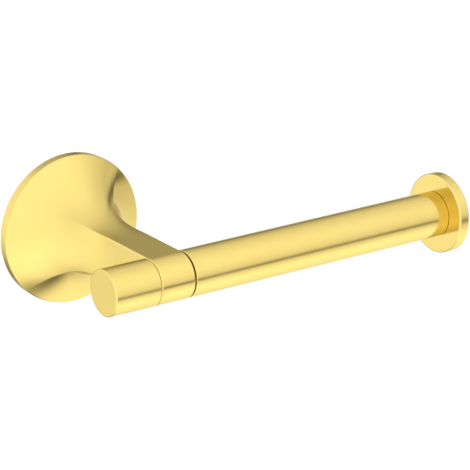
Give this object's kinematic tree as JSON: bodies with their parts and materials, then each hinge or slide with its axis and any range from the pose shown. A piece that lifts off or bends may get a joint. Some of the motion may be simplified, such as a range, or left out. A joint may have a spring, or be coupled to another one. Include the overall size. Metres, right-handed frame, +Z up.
{
  "type": "toilet paper holder",
  "caption": "Wall mounted toilet paper holder: a flared post on a round flange carries a free rolling arm with a stop disc.",
  "frame": {"origin": "centre of the wall bracket's back face, in the plane of the wall", "axes": "+X along the arm towards the stop disc, +Y into the wall, +Z up"},
  "size_m": [0.181, 0.0942, 0.0666],
  "materials": {
    "brushed_gold": "satin brushed gold",
    "steel": "turned steel",
    "plated_steel": "zinc plated, pressed",
    "bush_plastic": "moulded nylon",
    "washer_plastic": "moulded nylon"
  },
  "bodies": {
    "holder": {"post_body": "brushed_gold", "wall_bracket": "plated_steel", "bracket_grub_screw": "steel", "spindle": "steel", "spindle_washer": "steel", "spindle_spring_washer": "steel", "spindle_nut": "steel", "end_cap": "brushed_gold", "thrust_washer": "washer_plastic", "retaining_clip": "steel"},
    "roller": {"roller_tube": "brushed_gold", "inner_bush": "bush_plastic", "outer_bush": "bush_plastic", "tube_plug": "steel", "disc_stud": "steel", "end_disc": "brushed_gold"}
  },
  "joints": [
    {"name": "roller_spin", "type": "hinge", "parent": "holder", "child": "roller", "pos_m": [0.0755, -0.0765, 0], "axis": [1, 0, 0], "continuous": true}
  ]
}
